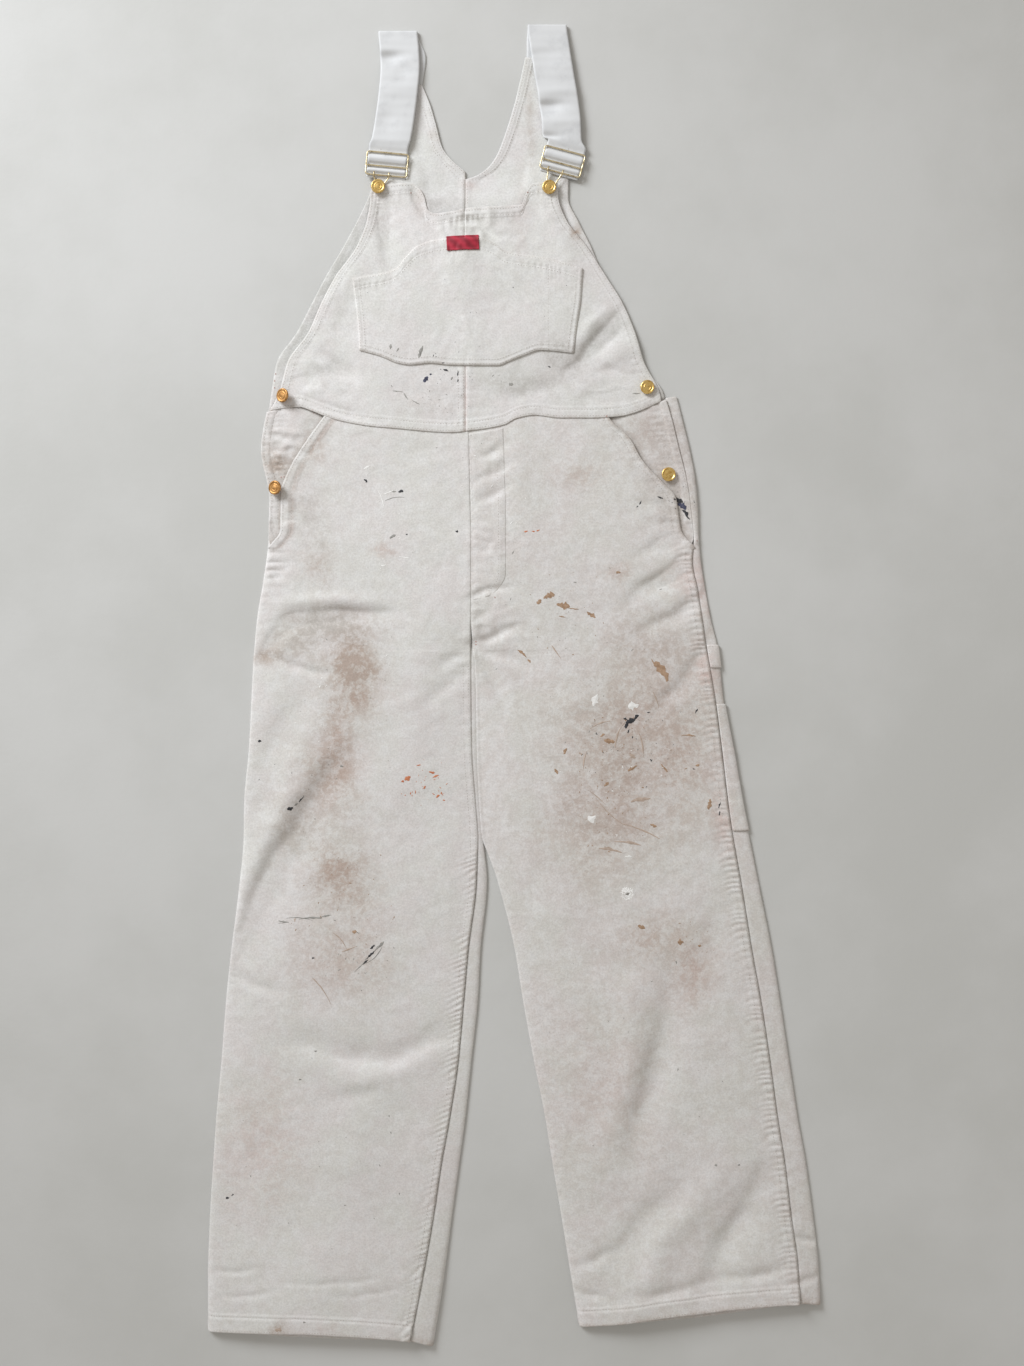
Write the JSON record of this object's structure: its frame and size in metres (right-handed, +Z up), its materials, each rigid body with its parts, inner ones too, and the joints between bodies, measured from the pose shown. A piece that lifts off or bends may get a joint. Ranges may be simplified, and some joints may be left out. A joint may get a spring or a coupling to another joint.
{
  "type": "paint spattered bib overalls",
  "caption": "White cotton painter's bib overalls laid flat, front up, worn and spattered with paint, with elastic straps folded over and brass slides and buttons.",
  "frame": {"origin": "on the floor under the middle of the garment's bounding box", "axes": "+X to the right of the garment as it is seen from above with the bib at the top, +Y from the hems to the shoulders, +Z up from the floor, through the back layer to the front layer"},
  "size_m": [0.6738, 1.452, 0.0148],
  "materials": {
    "cotton_drill": "washed white cotton drill, matt, greyed and spattered",
    "elastic_webbing": "white ribbed elastic webbing",
    "red_twill": "plain dark red woven tab",
    "gold_tone_metal": "worn gold-tone stamped metal, satin",
    "brass_wire": "dull brass-plated wire"
  },
  "bodies": {
    "root": {"front_leg_left": "cotton_drill", "front_leg_right": "cotton_drill", "back_leg_left": "cotton_drill", "back_leg_right": "cotton_drill", "hip_left": "cotton_drill", "hip_right": "cotton_drill", "side_placket_left": "cotton_drill", "side_placket_right": "cotton_drill", "fly_placket": "cotton_drill", "bib_front_left": "cotton_drill", "bib_front_right": "cotton_drill", "bib_pocket": "cotton_drill", "back_bib_left": "cotton_drill", "back_bib_right": "cotton_drill", "hammer_loop": "cotton_drill", "tool_pocket": "cotton_drill", "label_tab": "red_twill", "strap_left": "elastic_webbing", "strap_right": "elastic_webbing", "slide_left": "brass_wire", "slide_right": "brass_wire", "hook_left": "brass_wire", "hook_right": "brass_wire", "button_bib_left": "gold_tone_metal", "button_bib_right": "gold_tone_metal", "button_side_left_upper": "gold_tone_metal", "button_side_left_lower": "gold_tone_metal", "button_side_right_upper": "gold_tone_metal", "button_side_right_lower": "gold_tone_metal"}
  },
  "joints": []
}
